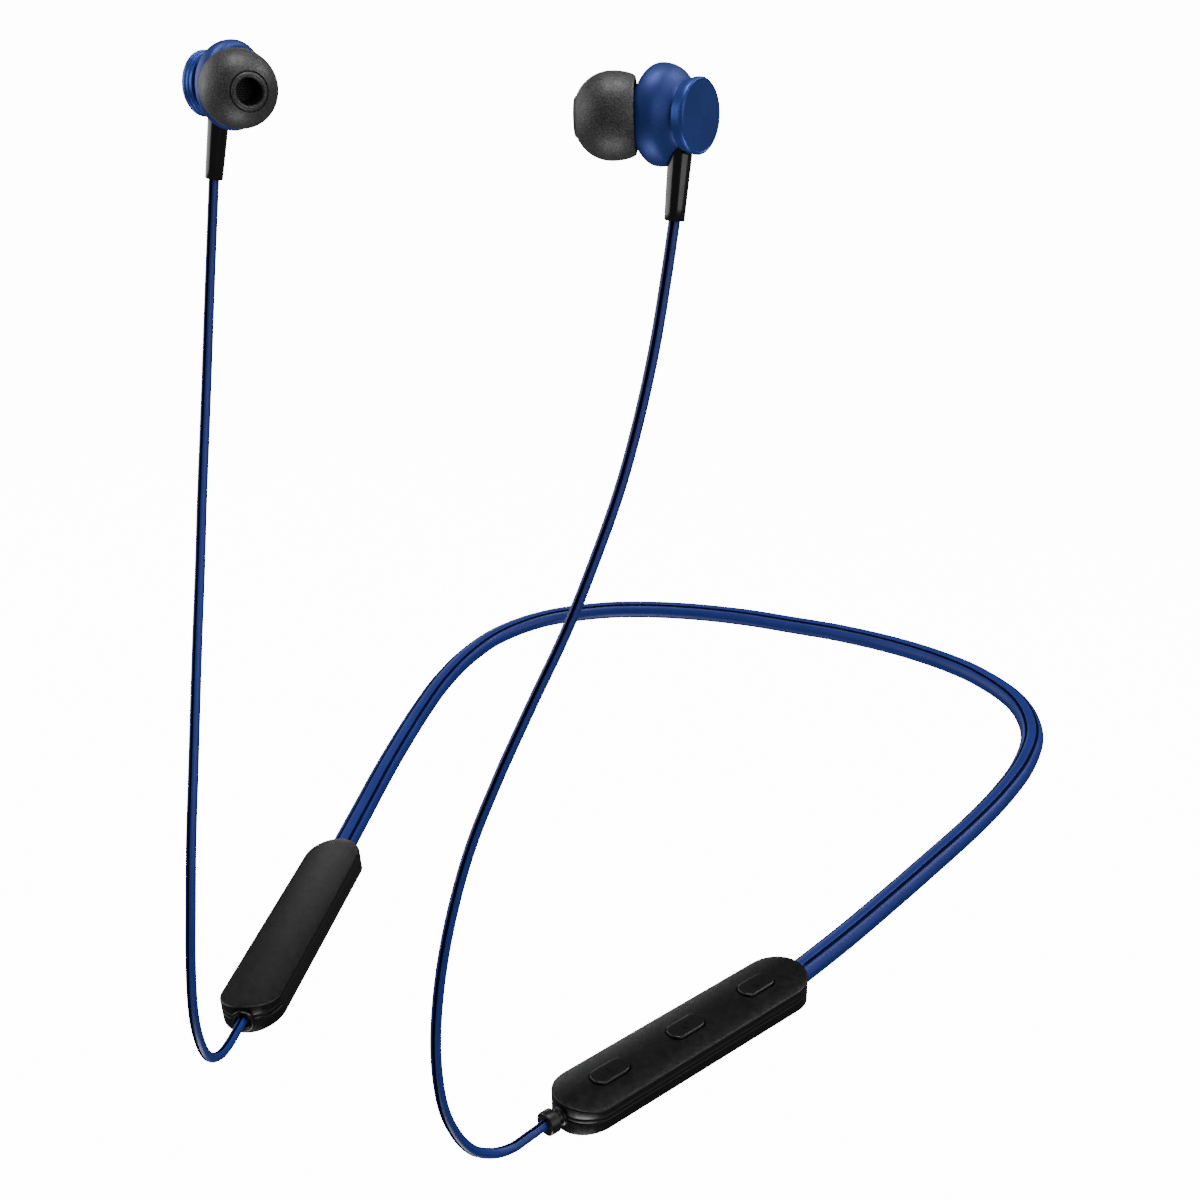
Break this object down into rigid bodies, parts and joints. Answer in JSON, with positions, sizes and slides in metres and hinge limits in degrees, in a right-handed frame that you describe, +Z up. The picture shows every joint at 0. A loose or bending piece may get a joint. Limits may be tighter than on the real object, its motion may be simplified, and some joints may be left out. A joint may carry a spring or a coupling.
{
  "type": "neckband earphones",
  "caption": "Wireless neckband earphones: a slim blue band joins two black pods, and a short cord from each pod carries an in-ear earbud with a removable silicone tip.",
  "frame": {"origin": "centre of the neckband's inner face at the nape", "axes": "+Z up, the wearer faces -Y, +X is the wearer's left"},
  "size_m": [0.1454, 0.1959, 0.1675],
  "materials": {
    "band_blue": "satin moulded",
    "pod_black": "fine matte texture",
    "button_black": "matte",
    "gland_black": "satin",
    "cover_rubber": "matte",
    "steel": "plain",
    "mesh_dark": "woven mesh, black",
    "board_green": "solder mask",
    "chip_black": "plain",
    "light_lens": "clear lens",
    "cell_foil": "foil",
    "foam": "soft foam",
    "tip_silicone": "matte silicone",
    "housing_blue": "anodised satin",
    "cap_blue": "anodised, spun",
    "diaphragm_film": "thin film",
    "copper": "copper winding",
    "stem_black": "gloss",
    "cord_blue": "satin"
  },
  "bodies": {
    "band": {"neckband_sleeve": "band_blue", "neckband_wire": "steel", "control_top_shell": "pod_black", "control_bottom_shell": "pod_black", "tact_switches": "steel", "control_board": "board_green", "bluetooth_chip": "chip_black", "microphone": "steel", "status_light": "light_lens", "usb_socket": "steel", "control_gland": "gland_black", "battery_top_shell": "pod_black", "battery_bottom_shell": "pod_black", "battery_cell": "cell_foil", "foam_pad": "foam", "battery_board": "board_green", "battery_gland": "gland_black", "left_nozzle_mesh": "mesh_dark", "left_front_housing": "housing_blue", "left_diaphragm": "diaphragm_film", "left_voice_coil": "copper", "left_driver_frame": "steel", "left_driver_magnet": "steel", "left_rear_housing": "housing_blue", "left_cap_magnet": "steel", "left_back_cap": "cap_blue", "left_stem": "stem_black", "left_cord": "cord_blue", "right_nozzle_mesh": "mesh_dark", "right_front_housing": "housing_blue", "right_diaphragm": "diaphragm_film", "right_voice_coil": "copper", "right_driver_frame": "steel", "right_driver_magnet": "steel", "right_rear_housing": "housing_blue", "right_cap_magnet": "steel", "right_back_cap": "cap_blue", "right_stem": "stem_black", "right_cord": "cord_blue"},
    "plus_key": {"plus_button": "button_black", "plus_plunger": "steel"},
    "power_key": {"power_button": "button_black", "power_plunger": "steel"},
    "minus_key": {"minus_button": "button_black", "minus_plunger": "steel"},
    "port_flap": {"port_cover": "cover_rubber"},
    "left_tip": {"left_ear_tip": "tip_silicone"},
    "right_tip": {"right_ear_tip": "tip_silicone"}
  },
  "joints": [
    {"name": "plus_press", "type": "slide", "parent": "band", "child": "plus_key", "axis": [-0.046, 0.1021, -0.9937], "range_m": [0, 0.0003], "stiffness_N_per_m": 450},
    {"name": "power_press", "type": "slide", "parent": "band", "child": "power_key", "axis": [-0.046, 0.1021, -0.9937], "range_m": [0, 0.0003], "stiffness_N_per_m": 450},
    {"name": "minus_press", "type": "slide", "parent": "band", "child": "minus_key", "axis": [-0.046, 0.1021, -0.9937], "range_m": [0, 0.0003], "stiffness_N_per_m": 450},
    {"name": "port_flap_hinge", "type": "hinge", "parent": "band", "child": "port_flap", "pos_m": [0.0316, -0.15296, -0.02595], "axis": [0.046, -0.1021, 0.9937], "range_deg": [0, 100]},
    {"name": "left_tip_pull", "type": "slide", "parent": "band", "child": "left_tip", "axis": [-0.9133, -0.4065, -0.0257], "range_m": [0, 0.008]},
    {"name": "right_tip_pull", "type": "slide", "parent": "band", "child": "right_tip", "axis": [0.8539, -0.5146, -0.0776], "range_m": [0, 0.008]}
  ]
}
